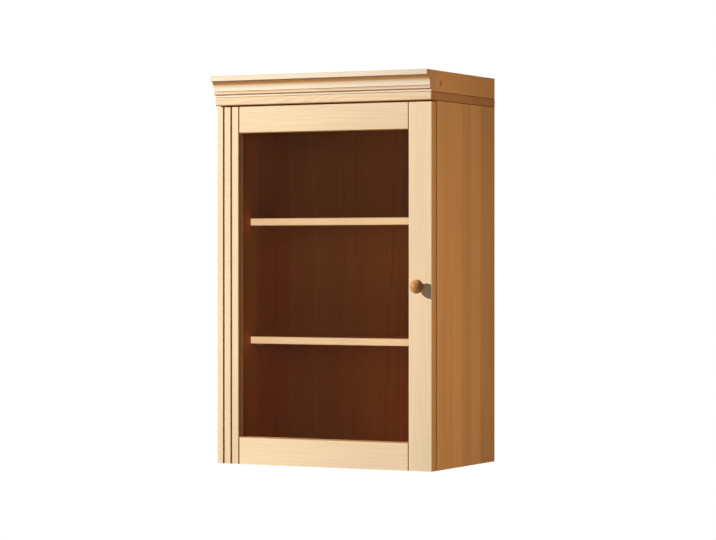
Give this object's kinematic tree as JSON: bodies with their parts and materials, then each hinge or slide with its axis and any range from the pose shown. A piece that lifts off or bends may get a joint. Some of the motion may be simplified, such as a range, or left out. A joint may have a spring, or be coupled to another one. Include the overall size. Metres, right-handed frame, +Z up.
{
  "type": "wall display cabinet",
  "caption": "Wall-hung pine display cabinet: moulded cornice, glazed frame door on pivots at its left edge with a turned knob, loose shelves on pins, magnetic catch.",
  "frame": {"origin": "on the wall plane, midway between the two wall screws in the hanging rail", "axes": "+X to the right seen from the front, +Y into the wall, +Z up"},
  "size_m": [0.51, 0.343, 0.824],
  "materials": {
    "pale_pine": "satin lacquer",
    "honey_pine": "satin lacquer",
    "back_board": "satin lacquer",
    "beech": "raw",
    "steel": "zinc plated",
    "white_plastic": "matte",
    "magnet": "matte",
    "felt": "felt",
    "clear_glass": "clear float glass"
  },
  "bodies": {
    "carcass": {"left_side_panel": "honey_pine", "right_side_panel": "honey_pine", "top_panel": "honey_pine", "bottom_panel": "honey_pine", "back_panel": "back_board", "hanging_rail": "honey_pine", "lower_rail": "honey_pine", "carcass_dowels": "beech", "cornice_moulding": "pale_pine", "cornice_side_left": "honey_pine", "cornice_side_right": "honey_pine", "cornice_dowels": "beech", "cornice_corner_blocks": "honey_pine", "upper_shelf": "pale_pine", "upper_shelf_pins": "steel", "lower_shelf": "pale_pine", "lower_shelf_pins": "steel", "bottom_pivot_plate": "steel", "top_pivot_plate": "steel", "pivot_plate_screws": "steel", "pivot_washer": "white_plastic", "catch_housing": "white_plastic", "catch_magnet": "magnet", "catch_screws": "steel"},
    "door": {"door_stile_left": "pale_pine", "door_stile_right": "pale_pine", "door_rail_top": "pale_pine", "door_rail_bottom": "pale_pine", "glass_pane": "clear_glass", "glazing_bead_left": "pale_pine", "glazing_bead_right": "pale_pine", "glazing_bead_top": "pale_pine", "glazing_bead_bottom": "pale_pine", "door_knob": "pale_pine", "knob_screw": "steel", "door_top_plate": "steel", "door_bottom_plate": "steel", "door_plate_screws": "steel", "strike_plate": "steel", "strike_screw": "steel", "door_bumpers": "felt"}
  },
  "joints": [
    {"name": "door_swing", "type": "hinge", "parent": "carcass", "child": "door", "pos_m": [-0.2475, -0.305, -0.3425], "axis": [0, 0, -1], "range_deg": [0, 100]}
  ]
}
